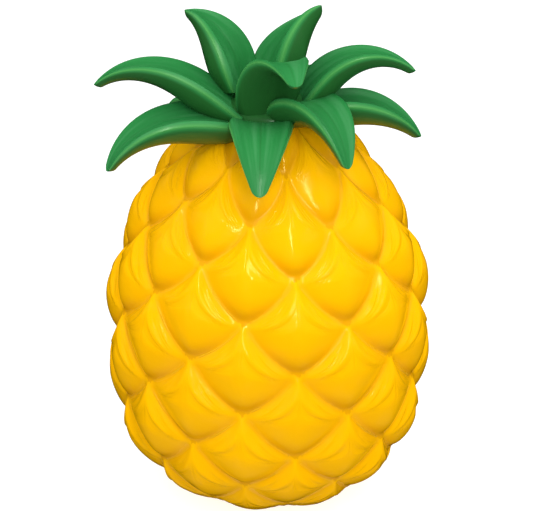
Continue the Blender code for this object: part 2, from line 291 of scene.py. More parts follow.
def relief(right, left):
    """Height of an eye over the skin. Both run from 0 at the apex's side to 1 at the lip."""
    right, left = np.maximum(right, TINY), np.maximum(left, TINY)
    across = np.abs(right - left)
    inward = (2 / (right ** -RIDGE_ROUND + left ** -RIDGE_ROUND)) ** (1 / RIDGE_ROUND)
    arm = ARM_AT - ARM_RISE * across ** 2 - across / 2
    climb = np.clip(inward / np.maximum(arm, LEAST_ARM), 0.0, 1.0)
    on_spine = np.exp(-(across / SPINE_WIDTH) ** 2)
    power = HOLLOW_POWER - (HOLLOW_POWER - SPINE_POWER) * on_spine
    rise = np.sin(climb * np.pi / 2) ** power
    shoulder = 1 - SHOULDER_DROP * across ** SHOULDER_POWER
    lower = (right ** TIP_ROUND + left ** TIP_ROUND) ** (1 / TIP_ROUND)
    lip = np.clip(1 - lower ** LIP_POWER, 0, 1) ** LIP_ROUND
    near_border = -np.log(np.clip(climb, NEARLY_0, NEARLY_1))
    near_spine = -np.log(np.clip(across, NEARLY_0, NEARLY_1))
    fan = np.arctan2(near_border, near_spine) * 2 / np.pi
    window = smooth_step(*FOLDS_BEGIN, fan) * smooth_step(*FOLDS_END, fan)
    window = window * smooth_step(*FOLDS_DOWN, (right + left) / 2) * smooth_step(*FOLDS_OUT, across)
    folds = FOLD_HEIGHT * np.cos(2 * np.pi * FOLD_COUNT * fan) * window
    saddle = 0.0
    for corner_x, corner_y in SADDLE_CORNERS:
        from_x = (right - left - corner_x) / SADDLE_WIDTH
        from_y = (right + left - corner_y) / SADDLE_DEPTH
        saddle = saddle + np.exp(-from_x ** 2 - from_y ** 2)
    height = np.hypot(EYE_HEIGHT * shoulder * rise * lip, SADDLE_HEIGHT * saddle)
    return height + folds, fan, window


def keep_value(thing, name, values):
    """Stores one number for each point, for the finish to read."""
    kept = thing.data.attributes.new(name, "FLOAT", "POINT")
    kept.data.foreach_set("value", np.asarray(values, dtype=np.float32))


flat = vertex_places(one_eye)
flat[:, 0] = crowd_to_ends(flat[:, 0])
flat[:, 1] = crowd_to_ends(flat[:, 1])
flat[:, 2], fan, window = relief(np.clip(flat[:, 0], 0, 1), np.clip(flat[:, 1], 0, 1))
move_vertices(one_eye, flat)
keep_value(one_eye, "relief", flat[:, 2] / EYE_HEIGHT)
keep_value(one_eye, "fan", fan)
keep_value(one_eye, "down", (flat[:, 0] + flat[:, 1]) / 2)
keep_value(one_eye, "hollow", window)
print("the eye stands", round(flat[:, 2].max() / MM, 2), "mm high")

# %% [markdown]
# ## A row of eyes, and the whole net
# The square is turned onto its corner: x becomes half eyes round the body and y becomes rings down it. The
# lower lips bow out a little, and the upper sides bow in by the same amount, so they still fit. An Array
# modifier then repeats the eye nine times, and the row is copied for each ring, half an eye further on.

# %% Lay the net
EYES_PER_RING = 9
TOP_RING = -1
BOTTOM_RING = 6
SCALLOP = 0.05
FADE_RINGS = (0.0, 1.8, 6.6, 8.6)
FADE_SHARES = (0.55, 1.06, 1.0, 0.20)


def bow(share):
    return SCALLOP * np.sin(np.pi * share)


def copy_of(thing):
    """A copy in the scene, with a mesh of its own."""
    twin = thing.copy()
    twin.data = thing.data.copy()
    bpy.context.scene.collection.objects.link(twin)
    return twin


def choose(*things):
    """Selects these objects and no other, and makes the first one active."""
    bpy.ops.object.select_all(action="DESELECT")
    for thing in things:
        thing.select_set(True)
    bpy.context.view_layer.objects.active = things[0]


net = vertex_places(one_eye)
right, left = net[:, 0].copy(), net[:, 1].copy()
net[:, 0] = right - left + bow(left) - bow(right)
net[:, 1] = right + left + bow(left) + bow(right)
move_vertices(one_eye, net)

repeat = one_eye.modifiers.new("row", "ARRAY")
repeat.count = EYES_PER_RING
repeat.use_relative_offset = False
repeat.use_constant_offset = True
repeat.constant_offset_displace = (2.0, 0.0, 0.0)
bpy.ops.object.modifier_apply(modifier="row")

rows = []
for ring in range(TOP_RING - 1, BOTTOM_RING + 2):
    row = copy_of(one_eye)
    places = vertex_places(row)
    places[:, 0] += ring
    places[:, 1] += ring
    places[:, 2] *= np.interp(places[:, 1], FADE_RINGS, FADE_SHARES)
    move_vertices(row, places)
    rows.append(row)
bpy.data.objects.remove(one_eye, do_unlink=True)

choose(*rows)
bpy.ops.object.join()
body = bpy.context.object
body.name = "yellow_body"
body.data.name = "yellow_body"
print("rows of eyes:", len(rows))

# %% [markdown]
# The net is trimmed with two straight bisect cuts, one where the crown's seat begins and one at the foot.
# Each open end is then carried on by a few extrusions, in which the relief dies away.
# One fault is left in. The edges of the first end stay selected while the second end is extruded, so they
# are carried along too, and leave a strip of loose-edged faces inside the body, under the top eyes.
# Deselecting the whole mesh before each step's selection would mend it.

# %% Trim and lengthen the net
SEAT_RADIUS = 18.5 * MM
FOOT_RADIUS = 22.0 * MM
END_STEPS = 6
NET_WELD = 0.0001
ON_THE_EDGE = 1e-5

bpy.ops.object.mode_set(mode="EDIT")
bpy.ops.mesh.select_all(action="SELECT")
bpy.ops.mesh.remove_doubles(threshold=NET_WELD)
bpy.ops.mesh.select_all(action="SELECT")
bpy.ops.mesh.bisect(plane_co=(0, TOP_RING, 0), plane_no=(0, 1, 0), clear_inner=True)
bpy.ops.mesh.select_all(action="SELECT")
bpy.ops.mesh.bisect(plane_co=(0, BOTTOM_RING + 2, 0), plane_no=(0, 1, 0), clear_outer=True)
bpy.ops.object.mode_set(mode="OBJECT")

on_top = outline_height > MIDDLE_HEIGHT
seat_ring = np.interp(SEAT_RADIUS, outline_radius[on_top], outline_ring[on_top])
foot_ring = np.interp(-FOOT_RADIUS, -outline_radius[~on_top], outline_ring[~on_top])
print("seat at ring", round(seat_ring, 2), "and foot at ring", round(foot_ring, 2))

for start_ring, end_ring in ((TOP_RING, seat_ring), (BOTTOM_RING + 2, foot_ring)):
    for step in range(END_STEPS):
        edge_at = start_ring + (end_ring - start_ring) * step / END_STEPS
        bpy.ops.object.mode_set(mode="EDIT")
        shape = bmesh.from_edit_mesh(body.data)
        for vertex in shape.verts:
            vertex.select_set(abs(vertex.co.y - edge_at) < ON_THE_EDGE)
        shape.select_flush(True)
        bmesh.update_edit_mesh(body.data)
        bpy.ops.mesh.extrude_edges_move(
            TRANSFORM_OT_translate={"value": (0, (end_ring - start_ring) / END_STEPS, 0)})
        relief_left = [max(math.cos(count / END_STEPS * math.pi / 2), 0.0) for count in (step, step + 1)]
        bpy.ops.transform.resize(value=(1, 1, relief_left[1] / relief_left[0]), center_override=(0, 0, 0))
        bpy.ops.object.mode_set(mode="OBJECT")
print("net:", len(body.data.polygons), "faces")

# %% [markdown]
# ## Wrapping the net round the body
# Blender's own Shrinkwrap or Curve modifiers would stretch the eyes unevenly, so the net is wrapped by the
# outline itself: half eyes become an angle, rings a place on the outline, and the height a lift off the
# skin. The lifted points also sag a little, because the soft lips hang over the crease. The rings of the
# real piece sit slightly askew, which is a small wave in the ring number.

# %% Wrap the net
HALF_EYE = math.pi / EYES_PER_RING
FIRST_EYE_ANGLE = math.radians(10.7)
RING_TILT = 0.33
TILT_TOWARDS = math.radians(48)
LIP_SAG = 0.15
LEVEL_RINGS = 2                     # rings at each end over which the tilt dies away


def wrap(places):
    """Carries rows of half eyes, ring and lift onto the body."""
    angle = FIRST_EYE_ANGLE + places[:, 0] * HALF_EYE
    ring = places[:, 1].copy()
    from_ends = np.minimum(ring - TOP_RING, BOTTOM_RING + 2 - ring)
    ring += RING_TILT * np.clip(from_ends / LEVEL_RINGS, 0, 1) * np.cos(angle - TILT_TOWARDS)
    down_radius = np.interp(ring, outline_ring, radius_slope)
    down_height = np.interp(ring, outline_ring, height_slope)
    lift = places[:, 2]
    radius = np.interp(ring, outline_ring, outline_radius) + lift * (LIP_SAG * down_radius - down_height)
    height = np.interp(ring, outline_ring, outline_height) + lift * (LIP_SAG * down_height + down_radius)
    return np.stack([radius * np.sin(angle), -radius * np.cos(angle), height], axis=1)


flat = vertex_places(body)
wrapped = wrap(flat)
move_vertices(body, wrapped)
print("body in mm:", np.round((wrapped.max(0) - wrapped.min(0)) / MM, 1))

# %% [markdown]
# The two edges of the net that met at the seam are merged, and the seat and the foot are closed. The faces
# are turned outwards and shaded smooth, with only the edges of the seat and foot left sharp. A mould can't
# have a knife edge at the bottom of a crease, so a Smooth modifier rounds the creases. A vertex group limits
# it to them. A second one goes over the whole body very lightly.

# %% Close the body
BODY_TOP = 159.1 * MM
CREASE_TOP = 0.45                   # share of an eye's height up to which the crease is rounded
CREASES_BEGIN = (2 * MM, 9 * MM)    # heights between which the rounding sets in
CREASES_END = (BODY_TOP - 1 * MM, BODY_TOP - 6 * MM)
LEAST_SHARE = 0.01
CREASE_ROUNDS = 24
ALL_OVER_ROUNDS = 2
SEAM_WELD = 0.01 * MM
END_NEARNESS = 5 * MM
BODY_SHARP_ANGLE = math.radians(60)

choose(body)
bpy.ops.object.mode_set(mode="EDIT")
bpy.ops.mesh.select_all(action="SELECT")
bpy.ops.mesh.remove_doubles(threshold=SEAM_WELD)
for height in (BODY_TOP, 0.0):
    shape = bmesh.from_edit_mesh(body.data)
    for element in list(shape.verts) + list(shape.edges) + list(shape.faces):
        element.select_set(False)
    for edge in shape.edges:
        near = abs((edge.verts[0].co.z + edge.verts[1].co.z) / 2 - height) < END_NEARNESS
        edge.select_set(edge.is_boundary and near)
    bmesh.update_edit_mesh(body.data)
    bpy.ops.mesh.extrude_edges_move()
    bpy.ops.transform.resize(value=(1, 1, 0), center_override=(0, 0, height))
    bpy.ops.mesh.extrude_edges_move()
    bpy.ops.mesh.merge(type="COLLAPSE")
bpy.ops.mesh.select_all(action="SELECT")
bpy.ops.mesh.normals_make_consistent(inside=False)
bpy.ops.object.mode_set(mode="OBJECT")

body_relief = np.empty(len(body.data.vertices), dtype=np.float32)
body.data.attributes["relief"].data.foreach_get("value", body_relief)
body_height = vertex_places(body)[:, 2]
crease_share = smooth_step(CREASE_TOP, 0.0, body_relief)
crease_share *= smooth_step(*CREASES_BEGIN, body_height) * smooth_step(*CREASES_END, body_height)
creases = body.vertex_groups.new(name="creases")
for vertex, share in enumerate(crease_share):
    if share > LEAST_SHARE:
        creases.add([vertex], float(share), "REPLACE")
for group_name, rounds in (("creases", CREASE_ROUNDS), ("", ALL_OVER_ROUNDS)):
    soften = body.modifiers.new("soften", "SMOOTH")
    soften.factor = 0.5
    soften.iterations = rounds
    soften.vertex_group = group_name
    bpy.ops.object.modifier_apply(modifier="soften")
bpy.ops.object.shade_smooth_by_angle(angle=BODY_SHARP_ANGLE)


def report_shape(thing):
    """Prints what a printed copy would need: open edges, triangles and volume."""
    shape = bmesh.new()
    shape.from_mesh(thing.data)
    open_edges = sum(1 for edge in shape.edges if len(edge.link_faces) != 2)
    triangles = sum(len(face.verts) - 2 for face in shape.faces)
    volume = shape.calc_volume(signed=True)
    shape.free()
    print(thing.name, "triangles:", triangles, "open edges:", open_edges,
          "volume in ml:", round(volume * 1e6, 2))


report_shape(body)

# %% [markdown]
# ## The crown's disc
# The leaves are stuck to a low green dome on top of the body. A little of its edge shows between the front
# leaves. It could be turned with a spin, but a cylinder whose top is inset and lifted ring by ring gives the
# same dome with even faces. A bevel then rounds its rim.

# %% Model the disc
DISC_RADIUS = 19.5 * MM
DISC_EDGE = 2.4 * MM
DISC_DOME = 5.6 * MM
GAP = 0.3 * MM
DISC_SIDES = 64
DOME_RINGS = 6
GREEN_SHARP_ANGLE = math.radians(40)
# the disc gets the values of a leaf's underside, so it takes the same painted shade
DISC_AS_SHADED_UNDERSIDE = -1.0            # the leaves' values along, across and above, for the finish to read

seat_height = BODY_TOP + GAP
bpy.ops.mesh.primitive_cylinder_add(vertices=DISC_SIDES, radius=DISC_RADIUS, depth=DISC_EDGE,
                                    location=(0, 0, seat_height + DISC_EDGE / 2))
disc = bpy.context.object
disc.name = "green_disc"
disc.data.name = "green_disc"
bpy.ops.object.transform_apply(location=True)
bpy.ops.object.mode_set(mode="EDIT")
shape = bmesh.from_edit_mesh(disc.data)
for face in shape.faces:
    face.select_set(face.normal.z > 0.9)
bmesh.update_edit_mesh(disc.data)
ring_radius, ring_height = DISC_RADIUS, 0.0
for ring in range(1, DOME_RINGS):
    angle = ring / DOME_RINGS * math.pi / 2
    bpy.ops.mesh.inset(thickness=ring_radius - DISC_RADIUS * math.cos(angle))
    bpy.ops.transform.translate(value=(0, 0, DISC_DOME * math.sin(angle) - ring_height))
    ring_radius, ring_height = DISC_RADIUS * math.cos(angle), DISC_DOME * math.sin(angle)
bpy.ops.mesh.extrude_region_move(TRANSFORM_OT_translate={"value": (0, 0, DISC_DOME - ring_height)})
bpy.ops.mesh.merge(type="CENTER")
bpy.ops.object.mode_set(mode="OBJECT")
rim = disc.modifiers.new("rim", "BEVEL")
rim.width = 0.5 * MM
rim.segments = 3
rim.limit_method = "ANGLE"
rim.angle_limit = math.radians(50)
bpy.ops.object.modifier_apply(modifier="rim")
bpy.ops.object.shade_smooth_by_angle(angle=GREEN_SHARP_ANGLE)
for name in ("along", "across", "above"):
    keep_value(disc, name, np.full(len(disc.data.vertices), DISC_AS_SHADED_UNDERSIDE))
report_shape(disc)

# %% [markdown]
# ## A flat leaf blank
# All leaves come from one shape: a boat-like blade with a shallow fold along its upper face, round rims and
# a full underside. The blank is modelled straight, one unit long and one unit to each side: a circle of
# points is laid out as the blade's cut across, and is extruded along in small steps. Its two ends are
# closed. The blank's x is the share of the length, y the place across and z the place on the section.

# %% Model the blank
SECTION_POINTS = 48
BLANK_STEPS = 56

bpy.ops.mesh.primitive_circle_add(vertices=SECTION_POINTS, radius=1.0, fill_type="NOTHING",
                                  rotation=(0, math.pi / 2, 0))
blank = bpy.context.object
blank.name = "leaf_blank"
bpy.ops.object.transform_apply(rotation=True)
bpy.ops.object.mode_set(mode="EDIT")
bpy.ops.mesh.select_all(action="SELECT")
for step in range(BLANK_STEPS):
    bpy.ops.mesh.extrude_edges_move(TRANSFORM_OT_translate={"value": (1 / BLANK_STEPS, 0, 0)})
bpy.ops.object.mode_set(mode="OBJECT")
print("blank:", len(blank.data.polygons), "faces")

# %% [markdown]
# ## Bending the leaves
# The maker warms each blank and bends it over a former, so no two leaves hang alike. Each copy below takes
# its own length, width and arc: where its root is, which way it heads, how steeply it rises and falls, and
# how much it twists. The numbers are the same that the CAD leaves were built from.

# %% Describe the leaves
TIP_RADIUS = 2.1 * MM
TIP_DEPTH = 1.0 * MM
WIDEST_AT = 0.28
ROOT_WIDTH = 0.75
KEEL_TAPER = 0.15
VALLEY = 0.14
RIM_LIFT = 0.05
RIM_DEPTH = 0.10
RIM_UP = (0.60, 0.85)               # where the rim rises and rolls over, in half widths
RIM_OVER = (0.88, 1.0)
FACE_SPREAD = 0.8
FOLD_SOFTNESS = 0.01
TURN_POWER = 1.5
LEAF_WORDS = ("root", "heading", "turn", "rise", "fall", "arch", "length", "half_width", "keel", "fullness",
              "root_twist", "tip_twist")
LEAVES = {
    "leaf_outer_front": ((-3.4, -11.1, 159.9), 0, -1, 29, -71, 1.2, 54.7, 12.3, 0.7, 1.65, 1, -7),
    "leaf_outer_front_right": ((5.1, -5.3, 162.3), 37, -14, 50, -77, 1.06, 57.9, 13.7, 0.88, 1.8, 4, -30),
    "leaf_outer_right": ((11.3, -4.7, 160.9), 87, 3, 38, -62, 1.05, 54.7, 12.6, 0.98, 2.1, -8, -2),
    "leaf_outer_back": ((3.0, 11.0, 161.0), 165, 0, 34, -62, 1.1, 54.0, 12.4, 0.85, 1.7, 0, 0),
    "leaf_outer_back_left": ((-11.5, 6.5, 160.8), -125, -4, 20, -68, 1.1, 42.0, 12.4, 0.85, 1.7, 0, 4),
    "leaf_outer_left": ((-12.0, -12.0, 161.3), -66, 5, 18, -72, 1.8, 63.1, 13.4, 0.93, 1.85, -5, 13),
    "leaf_inner_left": ((-11.1, -7.9, 162.9), -85, -2, 44, -50, 1.8, 64.8, 12.7, 0.95, 1.5, -3, 9),
    "leaf_inner_right": ((9.8, -2.1, 164.7), 88, -6, 63, -47, 1.35, 56.6, 12.2, 0.9, 1.45, 11, -14),
    "leaf_inner_front": ((-2.8, -7.2, 159.8), 20, -12, 79, -30, 1.25, 67.5, 13.0, 0.72, 1.75, -1, -2),
    "leaf_inner_back_left": ((-9.1, 4.3, 168.2), -124, 8, 76, -13, 1.65, 42.6, 13.6, 1.0, 2.05, 10, 12),
    "leaf_inner_back_right": ((-3.2, 4.8, 169.8), 120, -11, 90, 10, 0.9, 40.0, 14.9, 1.0, 2.1, -9, -32),
}
print("leaves:", len(LEAVES))

# %% [markdown]
# A bent leaf could be had from a Curve modifier, but that gives no say over the twist and flattens the keel.
# So the middle line is stepped out from its own directions, and the blank's sections are placed along it.
# The section has a shallow valley above, a raised rim, and a full hull below that thins towards the tip.

# %% Bend a copy
FINE_STEPS = 400
TIP_STEPS_FROM = 0.86               # the share of the blank's steps that is not spent on the round tip
TIP_END = 0.995                     # how far the round tip's own turn goes, so that its end can be closed
TIP_DEPTH_POWER = 4


def leaf_directions(leaf, share):
    """Directions along, across and up at shares of the leaf's length, one row for each."""
    heading = np.radians(leaf["heading"] + leaf["turn"] * share ** TURN_POWER)
    slope = np.radians(leaf["rise"] + (leaf["fall"] - leaf["rise"]) * share ** leaf["arch"])
    twist = np.radians(leaf["root_twist"] + (leaf["tip_twist"] - leaf["root_twist"]) * share)
    none = np.zeros_like(share)
    outward = np.stack([np.sin(heading), -np.cos(heading), none], axis=1)
    sideways = np.stack([np.cos(heading), np.sin(heading), none], axis=1)
    upward = np.array([0.0, 0.0, 1.0])
    along = np.cos(slope)[:, None] * outward + np.sin(slope)[:, None] * upward
    normal = np.cos(slope)[:, None] * upward - np.sin(slope)[:, None] * outward
    across = np.cos(twist)[:, None] * sideways + np.sin(twist)[:, None] * normal
    up = np.cos(twist)[:, None] * normal - np.sin(twist)[:, None] * sideways
    return along, across, up


def leaf_line(leaf):
    """The middle line of the leaf's upper face, as evenly spaced points."""
    stations = np.linspace(0.0, 1.0, FINE_STEPS)
    along = leaf_directions(leaf, (stations[1:] + stations[:-1]) / 2)[0]
    steps = np.cumsum(along, axis=0) * leaf["length"] * MM / (FINE_STEPS - 1)
    return np.array(leaf["root"]) * MM + np.concatenate([[np.zeros(3)], steps])


def leaf_half_width(leaf, share):
    """Half width along the leaf, closing with a round tip."""
    length, widest = leaf["length"] * MM, leaf["half_width"] * MM
    towards_root = np.clip(share / WIDEST_AT, 0, 1)
    towards_tip = np.clip((share - WIDEST_AT) / (1 - WIDEST_AT), 0, 1)
    narrowing = np.where(share < WIDEST_AT, ROOT_WIDTH + (1 - ROOT_WIDTH) * np.sin(towards_root * np.pi / 2),
                         1 - towards_tip ** leaf["fullness"])
    tip_start = 1 - TIP_RADIUS / length
    into_tip = np.clip((share - tip_start) / (1 - tip_start), 0, 1)
    return (TIP_RADIUS + (widest - TIP_RADIUS) * narrowing) * np.sqrt(1 - into_tip ** 2)


def leaf_section(angle, half_width, keel):
    """Place across and up for a turn round the section: the first half turn is the upper face."""
    side = np.cos(angle)
    upper = np.sin(angle) >= 0
    place = np.sign(side) * np.abs(side) ** FACE_SPREAD
    fold = -VALLEY * (1 - np.sqrt(side ** 2 + FOLD_SOFTNESS))
    rim = RIM_LIFT * smooth_step(*RIM_UP, np.abs(place))
    rim = rim - (RIM_LIFT + RIM_DEPTH) * smooth_step(*RIM_OVER, np.abs(place)) ** 2
    face = (fold + rim) * half_width
    hull = -RIM_DEPTH * half_width + (keel - RIM_DEPTH * half_width) * np.sin(angle)
    return np.where(upper, place, side) * half_width, np.where(upper, face, hull)


def bend_leaf(name, leaf):
    """A copy of the blank with this leaf's width, arc and twist."""
    piece = copy_of(blank)
    piece.name = name
    piece.data.name = name
    places = vertex_places(piece)
    share = np.clip(places[:, 0], 0.0, 1.0)
    tip_start = 1 - TIP_RADIUS / (leaf["length"] * MM)
    into_tip = np.clip((share - TIP_STEPS_FROM) / (1 - TIP_STEPS_FROM), 0, TIP_END)
    share = np.where(share < TIP_STEPS_FROM, share / TIP_STEPS_FROM * tip_start,
                     tip_start + (1 - tip_start) * np.sin(into_tip * np.pi / 2))
    angle = np.arctan2(places[:, 2], places[:, 1])
    fine = np.linspace(0.0, 1.0, FINE_STEPS)
    line = leaf_line(leaf)
    centre = np.stack([np.interp(share, fine, line[:, axis]) for axis in range(3)], axis=1)
    half_width = leaf_half_width(leaf, share)
    keel = leaf["keel"] * half_width * (1 - KEEL_TAPER * share)
    keel += TIP_DEPTH * share ** TIP_DEPTH_POWER * np.minimum(half_width / TIP_RADIUS, 1.0)
    sideways, upwards = leaf_section(angle, half_width, keel)
    _, across, up = leaf_directions(leaf, share)
    move_vertices(piece, centre + across * sideways[:, None] + up * upwards[:, None])
    choose(piece)
    bpy.ops.object.mode_set(mode="EDIT")
    bpy.ops.mesh.select_all(action="DESELECT")
    bpy.ops.mesh.select_non_manifold()
    bpy.ops.mesh.edge_face_add()
    bpy.ops.mesh.select_all(action="SELECT")
    bpy.ops.mesh.normals_make_consistent(inside=False)
    bpy.ops.object.mode_set(mode="OBJECT")
    return piece


leaves = {}
leaf_words = {}
for name, numbers in LEAVES.items():
    leaf_words[name] = dict(zip(LEAF_WORDS, numbers))
    leaves[name] = bend_leaf("green_" + name, leaf_words[name])
print("leaves bent:", len(leaves))

# %% [markdown]
# On the real crown the soft leaf roots are squeezed against each other, the disc and the body. Here each
# leaf keeps its whole shape, so at the roots the leaves run into each other, the disc and the body, where
# nobody sees it. The CAD leaves are cut clear of each other there.

# %% Smooth the leaves
for piece in leaves.values():
    choose(piece)
    bpy.ops.object.shade_smooth_by_angle(angle=GREEN_SHARP_ANGLE)
    report_shape(piece)
bpy.data.objects.remove(blank, do_unlink=True)

# %% [markdown]
# The finish of a leaf follows its shape: paler along the rims, with painted highlight, and darker underneath,
# with painted shade. So each point keeps three numbers: how far along the leaf it is, how far across, and
# how far above the edges, the last two in half widths. They are measured from the leaf's own middle line.

# %% Mark the leaves
NEARNESS = 0.2                      # how much plain distance counts in finding a point's station
LAST_WIDTH_AT = 0.98                # beyond it the closing tip is too narrow to measure by


def mark_leaf(piece, leaf):
    stations = np.linspace(0.0, 1.0, FINE_STEPS)
    line = leaf_line(leaf)
    along, across, up = leaf_directions(leaf, stations)
    away = vertex_places(piece)[:, None, :] - line[None, :, :]
    ahead = np.abs((away * along[None]).sum(axis=2)) + NEARNESS * np.linalg.norm(away, axis=2)
    station = ahead.argmin(axis=1)
    point = np.arange(len(station))
    half_width = leaf_half_width(leaf, np.minimum(stations[station], LAST_WIDTH_AT))
    keep_value(piece, "along", stations[station])
    keep_value(piece, "across", (away[point, station] * across[station]).sum(axis=1) / half_width)
    keep_value(piece, "above", (away[point, station] * up[station]).sum(axis=1) / half_width)


for name, piece in leaves.items():
    mark_leaf(piece, leaf_words[name])
marks = np.empty(len(piece.data.vertices), dtype=np.float32)
piece.data.attributes["above"].data.foreach_get("value", marks)
print("above the edges, in half widths:", np.round([marks.min(), marks.max()], 2))

# %% [markdown]
# ## Plastic that was moulded
# Both plastics share the traces of the mould: the surface is never quite flat, the colour clouds a little
# where the plastic set at different speeds, and the polish varies. One node group gives all three, so that
# each plastic can use them at its own strength. It could be a picture, but noise has no seams.

# %% The mould's traces
CLOUD_RANGE = (0.30, 0.70)
DENT_RANGE = (0.35, 0.70)
DENTS_PER_CLOUD = 3.0
GRAIN_HEIGHT = 0.12


def new_group(name, inputs, outputs):
    group = bpy.data.node_groups.new(name, "ShaderNodeTree")
    for label, value in inputs:
        socket = group.interface.new_socket(label, in_out="INPUT", socket_type="NodeSocketFloat")
        socket.default_value = value
    for label in outputs:
        group.interface.new_socket(label, in_out="OUTPUT", socket_type="NodeSocketFloat")
    return group, group.nodes.new("NodeGroupInput"), group.nodes.new("NodeGroupOutput")


def feed(tree, socket, value):
    """Links another socket to this one, or sets it to a number or a colour."""
    if isinstance(value, (int, float, tuple)):
        socket.default_value = value
    else:
        tree.links.new(value, socket)


def add_math(tree, operation, first, second):
    node = tree.nodes.new("ShaderNodeMath")
    node.operation = operation
    feed(tree, node.inputs[0], first)
    feed(tree, node.inputs[1], second)
    return node.outputs["Value"]


def product(tree, first, second):
    return add_math(tree, "MULTIPLY", first, second)


def total(tree, first, second):
    return add_math(tree, "ADD", first, second)


def add_noise(tree, place, scale, detail, roughness=0.5):
    noise = tree.nodes.new("ShaderNodeTexNoise")
    noise.inputs["Detail"].default_value = detail
    noise.inputs["Roughness"].default_value = roughness
    tree.links.new(place, noise.inputs["Vector"])
    feed(tree, noise.inputs["Scale"], scale)
    return noise.outputs["Fac"]


def add_range(tree, value, low, high, to_low=0.0, to_high=1.0):
    """Maps a value smoothly from one range to another, and keeps it there."""
    node = tree.nodes.new("ShaderNodeMapRange")
    node.interpolation_type = "SMOOTHSTEP"
    for label, number in (("From Min", low), ("From Max", high), ("To Min", to_low), ("To Max", to_high)):
        node.inputs[label].default_value = number
    tree.links.new(value, node.inputs["Value"])
    return node.outputs["Result"]


mould_group, mould_in, mould_out = new_group(
    "mould_traces", [("Clouds per metre", 40.0), ("Grain per metre", 900.0)], ["Clouds", "Polish", "Height"])
where = mould_group.nodes.new("ShaderNodeTexCoord").outputs["Object"]
clouds = add_noise(mould_group, where, mould_in.outputs["Clouds per metre"], detail=3.0)
dents_scale = product(mould_group, mould_in.outputs["Clouds per metre"], DENTS_PER_CLOUD)
dents = add_noise(mould_group, where, dents_scale, detail=2.0)
grain = add_noise(mould_group, where, mould_in.outputs["Grain per metre"], detail=2.0)
mould_group.links.new(add_range(mould_group, clouds, *CLOUD_RANGE), mould_out.inputs["Clouds"])
mould_group.links.new(add_range(mould_group, dents, *DENT_RANGE), mould_out.inputs["Polish"])
fine_grain = product(mould_group, grain, GRAIN_HEIGHT)
mould_group.links.new(total(mould_group, dents, fine_grain), mould_out.inputs["Height"])
print("group sockets:", [item.name for item in mould_group.interface.items_tree])

# %% [markdown]
# ## Yellow plastic
# The yellow is strong and glossy. Shade is painted into its colour: darker in the creases, darkest under the
# lips, which face away from the light, and clearer on the crests. Fine drag lines fan out in the hollows
# beside each spine, where the plastic stretched as it left the mould, and thin flash stands here and there
# along the creases. The relief, the fan, the hollows and the way down the eye were stored with the mesh, so
# all this follows each eye.

# %% Yellow plastic
YELLOW_CREST = (0.95, 0.480, 0.001, 1.0)
# painted shade: the creases are darker because less light reaches into them
YELLOW_CREASE_SHADE = (0.90, 0.430, 0.001, 1.0)
# painted shade under the lips, which face down and away from the light
YELLOW_LIP_SHADE = (0.76, 0.345, 0.001, 1.0)
YELLOW_PALE = (1.0, 0.60, 0.02, 1.0)
YELLOW_SHINE = (0.36, (1.0, 0.85, 0.35, 1.0))           # strength and tint of the mirror image
YELLOW_CLOUDS = 45.0                # per metre
CREST_RELIEF = (0.0, 0.30)          # the relief runs from 0 in a crease to about 1
CLOUD_SHARE = 0.28
# where the painted lip shade lies: low down the eye, on the lip's slope, and off the crease itself
LIP_RELIEF = (0.98, 0.20)
LIP_DOWN = (0.58, 0.90)
LIP_EDGE = (0.0, 0.08)
DRAG_COUNT = 13.0
EYE_SHIFT = 9.0                     # per metre, so that no two eyes have the same lines
DRAG_HEIGHT = 1.6
FLASH_RELIEF = (0.06, 0.0)
FLASH_PER_METRE = 60.0
FLASH_PATCHES = (0.52, 0.60)
FLASH_SHARE = 0.55
FLASH_HEIGHT = 1.2
YELLOW_ROUGHNESS = (0.10, 0.18)
DULL_RELIEF = (0.3, 0.0)
DULL_CREASES = 0.20
YELLOW_BUMP = (0.8, 0.30 * MM)      # strength and distance


def read_value(tree, name):
    node = tree.nodes.new("ShaderNodeAttribute")
    node.attribute_name = name
    return node.outputs["Fac"]


def mix_colour(tree, share, first, second):
    node = tree.nodes.new("ShaderNodeMix")
    node.data_type = "RGBA"
    for label, value in (("Factor", share), ("A", first), ("B", second)):
        feed(tree, node.inputs[label], value)
    return node.outputs["Result"]


def join_vector(tree, parts):
    node = tree.nodes.new("ShaderNodeCombineXYZ")
    for socket, value in zip(node.inputs, parts):
        feed(tree, socket, value)
    return node.outputs["Vector"]


def shift_by_place(tree, pattern, where, per_metre):
    """Moves a pattern by the place on the object, so that it isn't the same everywhere."""
    node = tree.nodes.new("ShaderNodeVectorMath")
    node.operation = "MULTIPLY_ADD"
    node.inputs[1].default_value = (per_metre, per_metre, per_metre)
    tree.links.new(where, node.inputs[0])
    tree.links.new(pattern, node.inputs[2])
    return node.outputs["Vector"]


def add_bump(tree, height, strength, distance):
    node = tree.nodes.new("ShaderNodeBump")
    node.inputs["Strength"].default_value = strength
    node.inputs["Distance"].default_value = distance
    tree.links.new(height, node.inputs["Height"])
    return node.outputs["Normal"]


def plastic(name, shine, clouds_per_metre):
    """A new plastic with the mould's traces in it."""
    material, shader = new_material(name)
    tree = material.node_tree
    shader.inputs["Specular IOR Level"].default_value, shader.inputs["Specular Tint"].default_value = shine
    traces = tree.nodes.new("ShaderNodeGroup")
    traces.node_tree = mould_group
    traces.inputs["Clouds per metre"].default_value = clouds_per_metre
    return material, tree, shader, traces


yellow, tree, shader, traces = plastic("yellow_plastic", YELLOW_SHINE, YELLOW_CLOUDS)
relief_value = read_value(tree, "relief")
down_value = read_value(tree, "down")
where = tree.nodes.new("ShaderNodeTexCoord").outputs["Object"]
cloud_share = product(tree, traces.outputs["Clouds"], CLOUD_SHARE)
